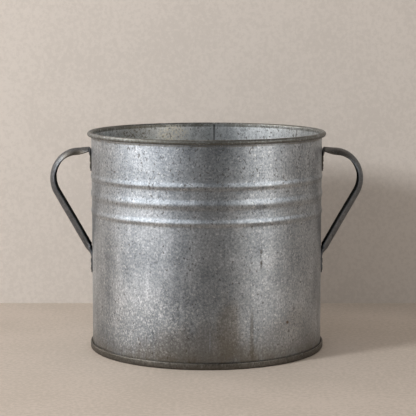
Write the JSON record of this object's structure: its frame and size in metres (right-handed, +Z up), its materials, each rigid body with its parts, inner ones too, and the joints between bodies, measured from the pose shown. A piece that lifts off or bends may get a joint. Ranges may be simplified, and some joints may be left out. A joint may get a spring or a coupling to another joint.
{
  "type": "feed bucket",
  "caption": "Galvanised steel feed bucket: straight beaded wall, wired rim, double-seamed base and two riveted side handles, for carrying feed or water.",
  "frame": {"origin": "on the floor, at the middle of the base", "axes": "+Z up along the bucket's axis; +X towards the right handle; -Y is the front, and the lock seam is at the back, near +Y"},
  "size_m": [0.4092, 0.3108, 0.2835],
  "materials": {
    "wall_zinc": "hot-dip galvanised, mottled and weathered",
    "base_zinc": "hot-dip galvanised, darkened by grime near the floor",
    "wire_steel": "drawn steel wire, galvanised",
    "handle_zinc": "hot-dip galvanised, dark patina from handling",
    "rivet_zinc": "set rivet heads under the zinc coat"
  },
  "bodies": {
    "root": {"body_wall": "wall_zinc", "base_pan": "base_zinc", "rim_wire": "wire_steel", "left_handle": "handle_zinc", "right_handle": "handle_zinc", "left_upper_rivets": "rivet_zinc", "left_lower_rivets": "rivet_zinc", "right_upper_rivets": "rivet_zinc", "right_lower_rivets": "rivet_zinc"}
  },
  "joints": []
}
